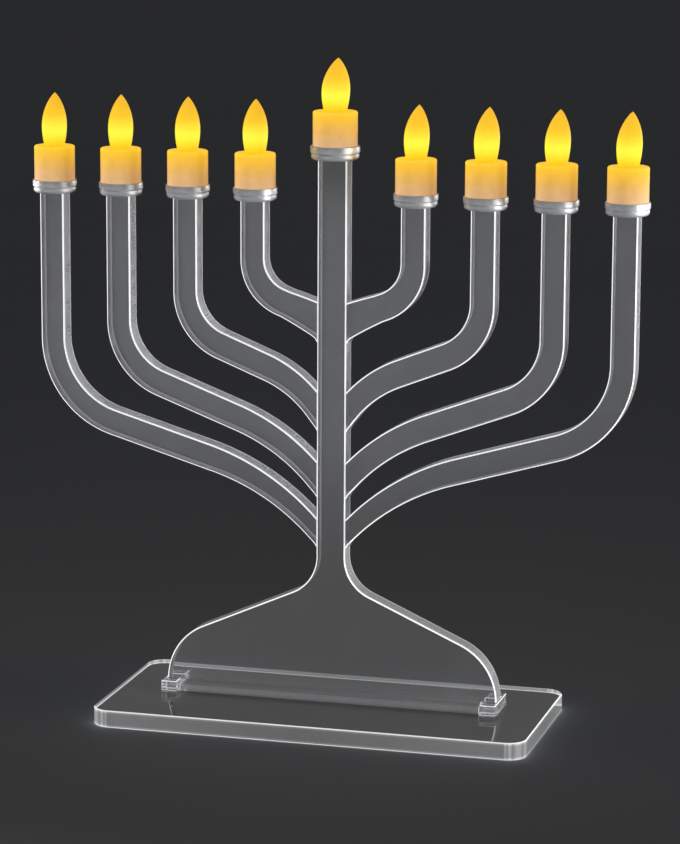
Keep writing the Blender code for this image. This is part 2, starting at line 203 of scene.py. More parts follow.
def makeCutMarks():
    # fine lines that the saw and the polishing flame leave across a sheet's edge
    tree, given, out = newGroup("cutMarks", [("Fineness", 900.0), ("Polish", 0.2)],
                                [("Roughness", "NodeSocketFloat"), ("Height", "NodeSocketFloat"),
                                 ("Shade", "NodeSocketFloat")])
    coords = tree.nodes.new("ShaderNodeTexCoord")
    squeeze = addNode(tree, "VectorMath")
    squeeze.operation = "MULTIPLY"
    squeeze.inputs[1].default_value = marks["sawSqueeze"]
    join(tree, coords.outputs["Object"], squeeze.inputs[0])
    noise = addNode(tree, "TexNoise", Detail=3.0, Roughness=0.6)
    join(tree, squeeze.outputs["Vector"], noise.inputs["Vector"])
    join(tree, given["Fineness"], noise.inputs["Scale"])
    cloud = stretchedNoise(tree, marks["sawCloudScale"], 2.0)
    sawn = calculate(tree, "MULTIPLY", noise.outputs["Fac"], marks["sawShare"])
    streaks = calculate(tree, "ADD", sawn,
                        calculate(tree, "MULTIPLY", cloud, 1.0 - marks["sawShare"]))
    uneven = rescale(tree, streaks, 0.35, 0.65, *marks["sawRough"])
    join(tree, calculate(tree, "MULTIPLY", uneven, given["Polish"]), out["Roughness"])
    join(tree, noise.outputs["Fac"], out["Height"])
    join(tree, rescale(tree, streaks, 0.35, 0.65, marks["sawShadeLow"], 1.0), out["Shade"])
    return tree


def makeMouldGrain():
    # the fine matt texture of a moulded plastic, with slightly shiny rubbed places
    tree, given, out = newGroup("mouldGrain", [("Grain", 2600.0), ("Matt", 0.5)],
                                [("Roughness", "NodeSocketFloat"), ("Height", "NodeSocketFloat"),
                                 ("Shade", "NodeSocketFloat")])
    coords = tree.nodes.new("ShaderNodeTexCoord")
    noise = addNode(tree, "TexNoise", Detail=2.0)
    join(tree, coords.outputs["Object"], noise.inputs["Vector"])
    join(tree, given["Grain"], noise.inputs["Scale"])
    rubbed = stretchedNoise(tree, marks["rubbedScale"], 3.0)
    uneven = rescale(tree, rubbed, 0.35, 0.65, *marks["rubbedRough"])
    join(tree, noise.outputs["Fac"], out["Height"])
    join(tree, calculate(tree, "MULTIPLY", uneven, given["Matt"]), out["Roughness"])
    join(tree, rescale(tree, rubbed, 0.3, 0.7, marks["rubbedShadeLow"], 1.0), out["Shade"])
    return tree


def makeWaxCloud():
    # soft clouds and flow marks in a translucent, lit-from-inside moulding
    tree, given, out = newGroup("waxCloud", [("Size", 140.0), ("Depth", 0.1)],
                                [("Cloud", "NodeSocketFloat"), ("Height", "NodeSocketFloat")])
    coords = tree.nodes.new("ShaderNodeTexCoord")
    noise = addNode(tree, "TexNoise", Detail=4.0, Roughness=0.55, Distortion=0.4)
    join(tree, coords.outputs["Object"], noise.inputs["Vector"])
    join(tree, given["Size"], noise.inputs["Scale"])
    low = calculate(tree, "SUBTRACT", 1.0, given["Depth"])
    join(tree, rescale(tree, noise.outputs["Fac"], 0.3, 0.7, low, 1.0), out["Cloud"])
    fine = stretchedNoise(tree, marks["waxFineScale"], 2.0)
    fine = calculate(tree, "MULTIPLY", fine, marks["waxFineShare"])
    join(tree, calculate(tree, "ADD", noise.outputs["Fac"], fine), out["Height"])
    return tree


handlingMarks = makeHandlingMarks()
cutMarks = makeCutMarks()
mouldGrain = makeMouldGrain()
waxCloud = makeWaxCloud()


# materials

acrylicLook = {
    "ior": 1.49, "tint": (0.95, 0.955, 0.965), "paintedGlowTint": (0.97, 0.98, 1.0),
    "faceClear": 0.88, "polish": 0.025, "smudge": 0.08,
    "faceBump": (0.06, 0.0004), "edgeBump": (0.03, 0.0003), "rimFrom": 0.62, "rimTo": 0.95,
    # clearness, roughness, painted glow of the edge (emission in place of its highlights and of the
    # light piped out of it), how much stronger that painted glow is beside the two faces, and how much
    # of it shows from inside the sheet
    "sawn": {"clear": 0.68, "rough": 0.14, "glow": 0.050, "rim": 8.0, "inner": 0.0},
    "polished": {"clear": 0.90, "rough": 0.05, "glow": 0.032, "rim": 2.6, "inner": 2.4},
    "foot": {"clear": 0.86, "rough": 0.05, "glow": 0.028, "rim": 1.0, "inner": 0.0},
    "panelCorner": {"clear": 0.15, "rough": 0.20, "glow": 0.66, "rim": 1.0, "inner": 0.15},
    "plateCorner": {"clear": 0.15, "rough": 0.20, "glow": 0.48, "rim": 1.0, "inner": 1.4},
    "footCorner": {"clear": 0.25, "rough": 0.18, "glow": 0.62, "rim": 1.0, "inner": 0.6},
    # painted brightness bands round a rounded corner, from its straight neighbours (0) to its middle
    # (1)
    "paintedCornerBands": [(0.0, 1.0), (0.20, 13.0), (0.36, 1.0), (0.60, 16.0), (0.80, 1.0), (1.0, 12.0)],
}


def paintedGlowSeenFromInside(tree, value, innerShare):
    # gives the painted edge glow another strength where the surface is seen from inside the sheet
    geometry = tree.nodes.new("ShaderNodeNewGeometry")
    share = rescale(tree, geometry.outputs["Backfacing"], 0.0, 1.0, 1.0, innerShare)
    return calculate(tree, "MULTIPLY", value, share)


def rimBoost(tree, axis, low, high, boost):
    # painted glow gain: 1 in the middle of a sheet's thickness, rising to boost beside its faces,
    # where bright bevel lines are painted
    across = rescale(tree, coordinate(tree, "Object", axis), low, high, -1.0, 1.0)
    return rescale(tree, calculate(tree, "ABSOLUTE", across), acrylicLook["rimFrom"],
                   acrylicLook["rimTo"], 1.0, boost)


def paintedCornerBands(tree):
    # painted highlight: bright and dark bands painted on a plate's rounded corners by the way they
    # face
    turned = calculate(tree, "MULTIPLY", coordinate(tree, "Normal", "X"),
                       coordinate(tree, "Normal", "Y"))
    turned = calculate(tree, "MULTIPLY", calculate(tree, "ABSOLUTE", turned), 2.0)
    stops = acrylicLook["paintedCornerBands"]
    brightest = max(share for place, share in stops)
    bands = colourRamp(tree, turned, [(place, (share / brightest,) * 3) for place, share in stops])
    return calculate(tree, "MULTIPLY", bands, brightest)


def makeSheetFace():
    look = acrylicLook
    material, tree, shader = newMaterial("acrylicFace", look["tint"], look["polish"],
                                         IOR=look["ior"], Transmission_Weight=look["faceClear"])
    wear = useGroup(tree, handlingMarks, Polish=look["polish"], Smudge=look["smudge"])
    join(tree, wear["Roughness"], shader["Roughness"])
    join(tree, scaledColour(tree, wear["Haze"], look["tint"]), shader["Base Color"])
    addBump(tree, wear["Height"], shader, look["faceBump"])
    return material


def makeSheetEdge(name, finish, fineness, node, axis, withPaintedBands=False):
    # the cut edge of the sheet that the named part is made of, its thickness along axis; its emission
    # is painted glow
    look = acrylicLook
    cut = look[finish]
    low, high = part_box(node)
    thickLow = low["XYZ".index(axis)]
    thickHigh = high["XYZ".index(axis)]
    material, tree, shader = newMaterial(name, look["tint"], cut["rough"], IOR=look["ior"],
                                         Transmission_Weight=cut["clear"],
                                         Emission_Strength=cut["glow"])
    wear = useGroup(tree, cutMarks, Fineness=fineness, Polish=cut["rough"])
    join(tree, wear["Roughness"], shader["Roughness"])
    join(tree, scaledColour(tree, wear["Shade"], look["tint"]), shader["Base Color"])
    # painted glow: emission in place of the edge's highlights and of light piped through the sheet
    glow = calculate(tree, "MULTIPLY", wear["Shade"],
                     rimBoost(tree, axis, thickLow, thickHigh, cut["rim"]))
    if withPaintedBands:
        glow = calculate(tree, "MULTIPLY", glow, paintedCornerBands(tree))
    glow = paintedGlowSeenFromInside(tree, glow, cut["inner"])
    join(tree, scaledColour(tree, glow, look["paintedGlowTint"]), shader["Emission Color"])
    addBump(tree, wear["Height"], shader, look["edgeBump"])
    return material


cupLook = {"colour": (0.80, 0.81, 0.83), "rough": 0.44, "metallic": 0.72, "grain": 700.0,
           "ringScale": (40, 40, 3200), "ringRough": (0.8, 1.25), "bump": (0.08, 0.0001)}


def makeCupMaterial():
    # bright turned metal, with the lathe's fine rings
    look = cupLook
    material, tree, shader = newMaterial("turnedAluminium", look["colour"], look["rough"],
                                         Metallic=look["metallic"])
    rings = stretchedNoise(tree, look["ringScale"], 2.0)
    grain = useGroup(tree, mouldGrain, Grain=look["grain"], Matt=look["rough"])
    ringRough = rescale(tree, rings, 0.3, 0.7, *look["ringRough"])
    join(tree, calculate(tree, "MULTIPLY", ringRough, grain["Roughness"]), shader["Roughness"])
    join(tree, scaledColour(tree, grain["Shade"], look["colour"]), shader["Base Color"])
    addBump(tree, rings, shader, look["bump"])
    return material


acrylicFace = makeSheetFace()
# the corners are thin polished bevels, given a strong painted glow in place of their highlights and of
# the light that runs inside the sheet
sheetMaterials = [acrylicFace,
                  makeSheetEdge("acrylicSawnEdgePaintedGlow", "sawn", 500.0, "stem_panel", "Y"),
                  makeSheetEdge("acrylicPanelCornerPaintedGlow", "panelCorner", 500.0, "stem_panel", "Y")]
plateMaterials = [acrylicFace,
                  makeSheetEdge("acrylicPlateEdgePaintedGlow", "polished", 300.0, "base_plate", "Z", True),
                  makeSheetEdge("acrylicPlateCornerPaintedGlow", "plateCorner", 300.0, "base_plate", "Z")]
footMaterials = [acrylicFace,
                 makeSheetEdge("acrylicFootEdgePaintedGlow", "foot", 300.0, "left_end_clip", "Z"),
                 makeSheetEdge("acrylicFootCornerPaintedGlow", "footCorner", 300.0, "left_end_clip", "Z")]
cupAluminium = makeCupMaterial()


def heightShare(tree, low, high):
    return rescale(tree, coordinate(tree, "Object", "Z"), low, high, 0.0, 1.0)


# glow and body are colours by height, body's amber toward the top being painted inner light; cloud is
# the size and depth of the wax clouds
candleLook = {
    "base": (0.6, 0.4, 0.2), "rough": 0.55, "roughRange": (0.62, 0.52), "cloud": (110.0, 0.10),
    "sheen": (0.50, 0.25), "sheenTint": (1.0, 0.84, 0.50, 1.0), "specular": 0.25,
    "bump": (0.12, 0.0003),
    "glow": [(0.00, (0.40, 0.225, 0.110)), (0.30, (0.43, 0.225, 0.080)),
             (0.60, (0.58, 0.31, 0.030)), (0.90, (0.86, 0.47, 0.012)),
             (1.00, (1.00, 0.62, 0.040))],
    "body": [(0.00, (0.62, 0.46, 0.32)), (0.35, (0.62, 0.42, 0.22)),
             (0.75, (0.50, 0.29, 0.06)), (1.00, (0.46, 0.26, 0.03))],
}
flameLook = {
    "base": (0.22, 0.13, 0.010), "rough": 0.50, "roughRange": (0.56, 0.46),
    "cloud": (160.0, 0.07), "sheen": (1.0, 0.20), "sheenTint": (1.0, 0.92, 0.35, 1.0),
    "specular": 0.25, "bump": (0.10, 0.0003),
    "glow": [(0.00, (0.88, 0.50, 0.010)), (0.12, (0.98, 0.72, 0.020)), (0.28, (1.0, 1.0, 0.070)),
             (0.40, (1.0, 0.86, 0.050)), (0.60, (0.94, 0.54, 0.024)), (1.00, (0.90, 0.48, 0.030))],
}


def makeLitMaterial(name, look, low, high):
    # a translucent moulding that is lit from inside, coloured by its height
    sheen, sheenRough = look["sheen"]
    size, depth = look["cloud"]
    material, tree, shader = newMaterial(name, look["base"], look["rough"], Emission_Strength=1.0,
                                         Sheen_Weight=sheen, Sheen_Roughness=sheenRough,
                                         Sheen_Tint=look["sheenTint"])
    shader["Specular IOR Level"].default_value = look["specular"]
    wax = useGroup(tree, waxCloud, Size=size, Depth=depth)
    share = heightShare(tree, low, high)
    glow = colourRamp(tree, share, look["glow"])
    join(tree, scaledColour(tree, wax["Cloud"], glow), shader["Emission Color"])
    # the body colour's amber toward the top is the inner light painted into the base colour
    if "body" in look:
        body = colourRamp(tree, share, look["body"])
        join(tree, scaledColour(tree, wax["Cloud"], body), shader["Base Color"])
    join(tree, rescale(tree, wax["Cloud"], 1.0 - depth, 1.0, *look["roughRange"]), shader["Roughness"])
    addBump(tree, wax["Height"], shader, look["bump"])
    return material


mouldedLook = {"grain": 2600.0, "bumpDistance": 0.0002}


def makeMoulded(name, colour, matt, depth, **sockets):
    material, tree, shader = newMaterial(name, colour, matt, **sockets)
    grain = useGroup(tree, mouldGrain, Grain=mouldedLook["grain"], Matt=matt)
    join(tree, grain["Roughness"], shader["Roughness"])
    join(tree, scaledColour(tree, grain["Shade"], colour), shader["Base Color"])
    addBump(tree, grain["Height"], shader, (depth, mouldedLook["bumpDistance"]))
    return material


whitePlastic = makeMoulded("whitePlastic", (0.80, 0.80, 0.77), 0.48, 0.25)
blackPlastic = makeMoulded("blackPlastic", (0.022, 0.022, 0.024), 0.50, 0.30)
ledLens = makeMoulded("ledLens", (1.0, 0.72, 0.20), 0.18, 0.05, Transmission_Weight=0.5, IOR=1.5,
                      Emission_Color=(1.0, 0.55, 0.10, 1.0), Emission_Strength=1.5)
print("materials ready")


# small tools for shapes

def arcPoints(centre, radius, start, end, steps):
    angles = [start + (end - start) * step / steps for step in range(steps + 1)]
    return [(centre[0] + radius * math.cos(a), centre[1] + radius * math.sin(a)) for a in angles]


def roundCorners(corners, steps=6):
    # corners are (x, y, rounding); a rounding of 0 keeps the corner sharp
    points = []
    for index, (x, y, rounding) in enumerate(corners):
        here = Vector((x, y))
        if rounding == 0:
            points.append((x, y))
            continue
        before = (Vector(corners[index - 1][:2]) - here).normalized()
        after = (Vector(corners[(index + 1) % len(corners)][:2]) - here).normalized()
        half = before.angle(after) / 2
        middle = here + (before + after).normalized() * rounding / math.sin(half)
        start = here + before * rounding / math.tan(half) - middle
        turn = (math.pi - 2 * half) * (1 if before.x * after.y - before.y * after.x < 0 else -1)
        for step in range(steps + 1):
            angle = turn * step / steps
            points.append((middle.x + start.x * math.cos(angle) - start.y * math.sin(angle),
                           middle.y + start.x * math.sin(angle) + start.y * math.cos(angle)))
    return points


def insetPoints(outline, amounts):
    # moves each side of a counter-clockwise outline inwards by its own amount
    count = len(outline)
    inside = []
    for index in range(count):
        here = Vector(outline[index])
        lastSide = here - Vector(outline[index - 1])
        nextSide = Vector(outline[(index + 1) % count]) - here
        first = Vector((-lastSide.y, lastSide.x)).normalized()
        second = Vector((-nextSide.y, nextSide.x)).normalized()
        a, b = amounts[index - 1], amounts[index]
        cross = first.x * second.y - first.y * second.x
        if abs(cross) < 1e-4:
            inside.append(tuple(here + first * a))
        else:
            inside.append((here.x + (a * second.y - b * first.y) / cross,
                           here.y + (b * first.x - a * second.x) / cross))
    return inside


def finishMesh(name, shape, materials, sharpAngle=30):
    bmesh.ops.recalc_face_normals(shape, faces=shape.faces)
    mesh = bpy.data.meshes.new(name)
    shape.to_mesh(mesh)
    shape.free()
    for material in materials:
        mesh.materials.append(material)
    mesh.shade_smooth()
    mesh.set_sharp_from_angle(angle=math.radians(sharpAngle))
    return mesh


def slabMesh(name, outline, low, high, axis, bevel, materials, joints=(), wall=None):
    # a cut sheet: faces (slot 0), cut edge (slot 1) and bevelled corners (slot 2);
    # joints are the outline's sides that meet a neighbour and have no bevel, and no point
    # passes the wall, the first number of the side that the sheet is cemented to
    amounts = [0.0 if index in joints else bevel for index in range(len(outline))]
    inner = insetPoints(outline, amounts)
    if wall is not None:
        inner = [(max(x, wall) if wall > 0 else min(x, wall), z) for x, z in inner]
    shape = bmesh.new()
    levels = [(inner, low), (outline, low + bevel), (outline, high - bevel), (inner, high)]
    place = "XYZ".index(axis)  # where the level goes among a corner's three numbers
    rings = [[shape.verts.new((*point[:place], level, *point[place:])) for point in points]
             for points, level in levels]
    shape.faces.new(rings[0]).material_index = 0
    shape.faces.new(list(reversed(rings[3]))).material_index = 0
    for band in range(3):
        for index in range(len(outline)):
            after = (index + 1) % len(outline)
            face = shape.faces.new((rings[band][index], rings[band + 1][index],
                                    rings[band + 1][after], rings[band][after]))
            face.material_index = 1 if band == 1 or index in joints else 2
    return finishMesh(name, shape, materials)


def turnedMesh(name, profile, materials, sides=96, slots=None):
    # spins a closed (radius, height) profile about Z; slots gives each stretch a material
    shape = bmesh.new()
    rings = []
    for radius, height in profile:
        if radius < 1e-7:
            rings.append([shape.verts.new((0.0, 0.0, height))])
            continue
        angles = [2 * math.pi * step / sides for step in range(sides)]
        rings.append([shape.verts.new((radius * math.cos(a), radius * math.sin(a), height))
                      for a in angles])
    for index, ring in enumerate(rings):
        following = rings[(index + 1) % len(rings)]
        for step in range(sides):
            after = (step + 1) % sides
            corners = [ring[step % len(ring)], ring[after % len(ring)],
                       following[after % len(following)], following[step % len(following)]]
            corners = list(dict.fromkeys(corners))
            if len(corners) > 2:
                face = shape.faces.new(corners)
                face.material_index = slots[index] if slots else 0
    return finishMesh(name, shape, materials)


pieces = []


def placePiece(name, mesh, body, node, location=(0, 0, 0), turn=0.0):
    piece = bpy.data.objects.new(name, mesh)
    bpy.context.scene.collection.objects.link(piece)
    pieces.append(piece)
    piece.location = location
    piece.rotation_euler = (0.0, 0.0, turn)
    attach(piece, body)
    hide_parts(node)


# base plate

plate = {"cornerRadius": 0.017, "bevel": 0.0009, "cornerSteps": 20}


def makeBasePlate():
    low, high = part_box("base_plate")
    corners = [(high.x, high.y), (low.x, high.y), (low.x, low.y), (high.x, low.y)]
    outline = roundCorners([(x, y, plate["cornerRadius"]) for x, y in corners],
                           plate["cornerSteps"])
    mesh = slabMesh("plate", outline, low.z, high.z, "Z", plate["bevel"], plateMaterials)
    placePiece("polished_base_plate", mesh, "root", "base_plate")


makeBasePlate()
print("base plate made")


# upright panel and its eight arms

upright = {"stemWidth": 0.026, "waistRadius": 0.037, "bellSlope": math.radians(24.0),
           "shoulderRadius": 0.055, "bellLineHeight": 0.1274, "bevel": 0.0010, "steps": 28}


def bellSide():
    # right side of the stem and bell, from the stem's top down to the base
    low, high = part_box("stem_panel")
    half = upright["stemWidth"] / 2
    slope = upright["bellSlope"]
    reach = math.tan((math.pi / 2 - slope) / 2)
    rise = math.tan(slope)
    waistHeight = upright["bellLineHeight"] - rise * half + upright["waistRadius"] * reach
    shoulderHeight = upright["bellLineHeight"] - rise * high.x - upright["shoulderRadius"] * reach
    points = [(half, high.z)]
    points += arcPoints((half + upright["waistRadius"], waistHeight), upright["waistRadius"],
                        math.pi, 1.5 * math.pi - slope, upright["steps"])
    points += arcPoints((high.x - upright["shoulderRadius"], shoulderHeight),
                        upright["shoulderRadius"], math.pi / 2 - slope, 0.0, upright["steps"])
    points.append((high.x, low.z))
    return points


def makeUpright():
    low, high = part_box("stem_panel")
    right = bellSide()
    outline = [(-x, z) for x, z in right] + list(reversed(right))
    joints = [len(right) - 1, len(outline) - 1]  # its foot on the base, and its top in the cup
    mesh = slabMesh("upright", outline, low.y, high.y, "Y", upright["bevel"], sheetMaterials, joints)
    placePiece("polished_stem_panel", mesh, "root", "stem_panel")


# tip: distance of the upright end from the middle; slope and height: the straight stretch;
# bend: radius of the upper bend; rootBend, rootEnd: radius and end of the bend at the stem
arms = {
    "outer": {"tip": 0.2585, "slope": 16.4, "height": 0.1965, "bend": 0.078, "rootBend": 0.212,
              "rootEnd": 0.111, "rootWidth": 0.0172, "midWidth": 0.0230},
    "second": {"tip": 0.1965, "slope": 20.6, "height": 0.2346, "bend": 0.059, "rootBend": 0.178,
               "rootEnd": 0.086, "rootWidth": 0.0210, "midWidth": 0.0235},
    "third": {"tip": 0.1345, "slope": 21.7, "height": 0.2900, "bend": 0.051, "rootBend": 0.106,
              "rootEnd": 0.060, "rootWidth": 0.0215, "midWidth": 0.0240},
    "inner": {"tip": 0.0725, "slope": 21.0, "height": 0.3545, "bend": 0.040, "rootBend": 0.400,
              "rootEnd": 0.042, "rootWidth": 0.0300, "midWidth": 0.0242},
}
armCut = {"endWidth": 0.0217, "fillet": 0.009, "filletStart": math.radians(18), "bevel": 0.0010,
          "rootSteps": 24, "bendSteps": 36, "filletSteps": 12}


def armCentreLine(shape, stemSide):
    # (x, z, direction, width) from the stem outwards
    slope = math.radians(shape["slope"])
    rise = math.tan(slope)
    endX = shape["rootEnd"]
    rootSlope = math.asin(math.sin(slope) + (endX - stemSide) / shape["rootBend"])
    bendX = shape["tip"] - shape["bend"] * (1 - math.sin(slope))
    line = []
    for step in range(armCut["rootSteps"] + 1):
        share = step / armCut["rootSteps"]
        angle = rootSlope + (slope - rootSlope) * share
        line.append((endX - shape["rootBend"] * (math.sin(angle) - math.sin(slope)),
                     shape["height"] + rise * endX
                     - shape["rootBend"] * (math.cos(slope) - math.cos(angle)),
                     angle,
                     shape["rootWidth"] + (shape["midWidth"] - shape["rootWidth"]) * share))
    for step in range(armCut["bendSteps"] + 1):
        share = step / armCut["bendSteps"]
        angle = slope + (math.pi / 2 - slope) * share
        line.append((bendX + shape["bend"] * (math.sin(angle) - math.sin(slope)),
                     shape["height"] + rise * bendX
                     + shape["bend"] * (math.cos(slope) - math.cos(angle)),
                     angle,
                     shape["midWidth"] + (armCut["endWidth"] - shape["midWidth"]) * share))
    return line


def meetStem(edge, stemSide):
    # drops points inside the stem and slides the first one onto its side
    while edge[1][0] <= stemSide + gap:
        edge = edge[1:]
    (x0, z0), (x1, z1) = edge[0], edge[1]
    return [(stemSide, z0 + (stemSide - x0) / (x1 - x0) * (z1 - z0))] + edge[1:]


def armOutline(shape, top):
    stemSide = upright["stemWidth"] / 2 + gap
    upper = []
    lower = []
    for x, z, angle, width in armCentreLine(shape, stemSide):
        across = Vector((-math.sin(angle), math.cos(angle))) * width / 2
        upper.append((x + across.x, z + across.y))
        lower.append((x - across.x, z - across.y))
    upper = meetStem(upper, stemSide)
    lower = meetStem(lower, stemSide)
    rise = math.atan2(lower[1][1] - lower[0][1], lower[1][0] - lower[0][0])
    drop = armCut["fillet"] * math.tan((math.pi / 2 - rise) / 2)
    centre = (stemSide + armCut["fillet"], lower[0][1] - drop)
    fillet = arcPoints(centre, armCut["fillet"], math.pi - armCut["filletStart"],
                       math.pi / 2 + rise, armCut["filletSteps"])
    outside = [point for point in lower[1:] if point[0] > fillet[-1][0] + gap]
    lower = [(stemSide, fillet[0][1])] + fillet + outside
    return lower + [(lower[-1][0], top), (upper[-1][0], top)] + list(reversed(upper))


def makeArm(side, place):
    node = side + "_" + place + "_arm"
    low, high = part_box(node)
    outline = armOutline(arms[place], high.z)
    if side == "left":
        outline = [(-x, z) for x, z in reversed(outline)]
    # the last side closes the outline along the stem, and the highest one is in the cup
    heights = [z + outline[(index + 1) % len(outline)][1] for index, (x, z) in enumerate(outline)]
    joints = [len(outline) - 1, heights.index(max(heights))]
    mesh = slabMesh(node, outline, low.y, high.y, "Y", armCut["bevel"], sheetMaterials, joints,
                    outline[-1][0])
    placePiece("polished_" + node, mesh, "root", node)


makeUpright()
for armSide in ("left", "right"):
    for armPlace in armPlaces:
        makeArm(armSide, armPlace)
print("upright and arms made")


# foot rails and end clips

foot = {"railThin": 0.0062, "railBevel": 0.0008, "clipBevel": 0.0006, "clipRounding": 0.0022}


def makeRail(node, front):
    # a strip whose top slopes down and away from the panel
    low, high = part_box(node)
    thinTop = low.z + foot["railThin"]
    frontTop, rearTop = (thinTop, high.z) if front else (high.z, thinTop)
    outline = [(low.y, low.z), (high.y, low.z), (high.y, rearTop), (low.y, frontTop)]
    mesh = slabMesh(node, outline, low.x, high.x, "X", foot["railBevel"], footMaterials)
    placePiece("polished_" + node, mesh, "root", node)


def makeClip(node, side):
    low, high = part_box(node)
    panelLow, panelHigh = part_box("stem_panel")
    outerX = max(abs(low.x), abs(high.x))
    innerX = min(abs(low.x), abs(high.x))
    rounding = foot["clipRounding"]
    slotEnd = panelHigh.x + gap
    slotLow = panelLow.y - gap
    slotHigh = panelHigh.y + gap
    outline = roundCorners([(innerX, low.y, 0), (outerX, low.y, rounding),
                            (outerX, high.y, rounding), (innerX, high.y, 0), (innerX, slotHigh, 0),
                            (slotEnd, slotHigh, 0), (slotEnd, slotLow, 0), (innerX, slotLow, 0)])
    if side == "left":
        outline = [(-x, y) for x, y in reversed(outline)]
    mesh = slabMesh(node, outline, low.z, high.z, "Z", foot["clipBevel"], footMaterials)
    placePiece("polished_" + node, mesh, "root", node)


makeRail("front_rail", True)
makeRail("rear_rail", False)
makeClip("left_end_clip", "left")
makeClip("right_end_clip", "right")
print("foot rails and clips made")


# cups

cup = {"bandIn": 0.0007, "grooveIn": 0.0014, "grooveLow": 0.46, "grooveHigh": 0.53,
       "grooveSlope": 0.0002, "footRounding": 0.0028, "seatDepth": 0.0052, "lip": 0.0005,
       "edge": 0.0003}


def makeCupMesh(node, candleNode):
    # rim band, groove, lower band with a rounded foot, and the candle's seat
    low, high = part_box(node)
    shellLow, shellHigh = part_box(candleNode)
    radius = (high.x - low.x) / 2
    tall = high.z - low.z
    seat = (shellHigh.x - shellLow.x) / 2 + gap
    band = radius - cup["bandIn"]
    waist = radius - cup["grooveIn"]
    grooveLow = tall * cup["grooveLow"]
    grooveHigh = tall * cup["grooveHigh"]
    floor = tall - cup["seatDepth"]
    edge = cup["edge"]
    slope = cup["grooveSlope"]
    corners = [(0.0, 0.0, 0), (band, 0.0, cup["footRounding"]), (band, grooveLow, edge),
               (waist, grooveLow + slope, slope), (waist, grooveHigh - slope, slope),
               (radius, grooveHigh, edge), (radius, tall, cup["lip"]), (seat, tall, edge),
               (seat, floor, edge), (0.0, floor, 0)]
    return turnedMesh(node + "_turned", roundCorners(corners, 4), [cupAluminium])


# candles: ivory shell, flame, light unit and switch

candle = {"wall": 0.0016, "top": 0.0020, "shoulder": 0.0016, "dishIn": 0.0030, "dishRound": 0.0010,
          "dishStart": 0.0001, "dishDeep": 0.0008, "edge": 0.0004, "holeEdge": 0.0003}
flame = {"neckShare": 0.80, "widest": 0.38, "fullness": 0.85, "lean": 0.0026, "wall": 0.0012,
         "flangeOut": 0.0020, "flangeThick": 0.0012, "steps": 44, "tipCrowding": 1.25,
         "hollowTop": 0.88, "innerTop": 0.86, "innerSteps": 13}


def makeShellMesh(node, flameNode):
    # open below, with a slightly dished top round the flame's hole
    low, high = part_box(node)
    radius = (high.x - low.x) / 2
    tall = high.z - low.z
    hole = neckRadius(flameNode) + gap
    inside = radius - candle["wall"]
    ceiling = tall - candle["top"]
    corners = [(radius, 0.0, candle["edge"]), (radius, tall, candle["shoulder"]),
               (radius - candle["dishIn"], tall - candle["dishStart"], candle["dishRound"]),
               (hole, tall - candle["dishDeep"], candle["holeEdge"]), (hole, ceiling, 0),
               (inside, ceiling, candle["edge"]), (inside, 0.0, 0)]
    material = makeLitMaterial(node + "_wax", candleLook, 0.0, tall)
    return turnedMesh(node + "_turned", list(reversed(roundCorners(corners, 6))), [material])


def neckRadius(flameNode):
    # the flange is the widest ring of the flame's foot, and stands flangeOut past the neck
    mesh = frame["nodes"][flameNode].data
    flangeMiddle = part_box(flameNode)[0].z + flame["flangeThick"] / 2
    ring = [corner.co.y for corner in mesh.vertices if corner.co.z < flangeMiddle]
    return (max(ring) - min(ring)) / 2 - flame["flangeOut"]


def flameRadius(share, neck):
    full = neck / flame["neckShare"]
    widest = flame["widest"]
    if share < widest:
        return full * (1.0 - (1.0 - flame["neckShare"]) * ((widest - share) / widest) ** 2)
    return full * (1.0 - ((share - widest) / (1.0 - widest)) ** 2) ** flame["fullness"]


def makeFlameMesh(node, shellNode):
    low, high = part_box(node)
    shellLow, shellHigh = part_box(shellNode)
    seat = shellLow.z
    bodyTop = shellHigh.z - seat
    tall = high.z - shellHigh.z
    neck = neckRadius(node)
    flangeLow = low.z - seat
    flangeHigh = flangeLow + flame["flangeThick"]
    flangeRadius = neck + flame["flangeOut"]
    profile = [(flangeRadius, flangeLow), (flangeRadius, flangeHigh), (neck, flangeHigh)]
    for step in range(flame["steps"]):
        share = 1.0 - (1.0 - step / flame["steps"]) ** flame["tipCrowding"]
        profile.append((flameRadius(share, neck), bodyTop + share * tall))
    profile += [(0.0, bodyTop + tall), (0.0, bodyTop + flame["hollowTop"] * tall)]
    for step in range(flame["innerSteps"] - 1, -1, -1):
        share = flame["innerTop"] * step / flame["innerSteps"]
        profile.append((flameRadius(share, neck) - flame["wall"], bodyTop + share * tall))
    profile.append((neck - flame["wall"], flangeLow))
    material = makeLitMaterial(node + "_diffuser", flameLook, bodyTop, bodyTop + tall)
    mesh = turnedMesh(node + "_turned", profile, [material])
    for corner in mesh.vertices:
        share = max(0.0, (corner.co.z - bodyTop) / tall)
        corner.co.x += flame["lean"] * share ** 2
    return mesh


unit = {"capRounding": 0.0006, "capThick": 0.0050, "boxRadius": 0.0118, "boxTop": 0.0140,
        "postRadius": 0.0035, "ledRadius": 0.0025, "ledTall": 0.0086, "ledFlange": 0.0008,
        "ledFlangeShare": 1.15, "ledSteps": 10, "doorRadius": 0.0078, "groove": 0.0005,
        "doorEdge": 0.0002, "edge": 0.0003, "boxFoot": 0.0005, "boxEdge": 0.0008,
        "postFoot": 0.0006, "coinSlot": (0.0090, 0.0013, 0.0009), "coinShift": 0.0012}


def blockCutter(size, centre):
    shape = bmesh.new()
    bmesh.ops.create_cube(shape, size=1.0)
    bmesh.ops.scale(shape, vec=size, verts=shape.verts)
    bmesh.ops.translate(shape, vec=centre, verts=shape.verts)
    mesh = bpy.data.meshes.new("cutter")
    shape.to_mesh(mesh)
    shape.free()
    return mesh


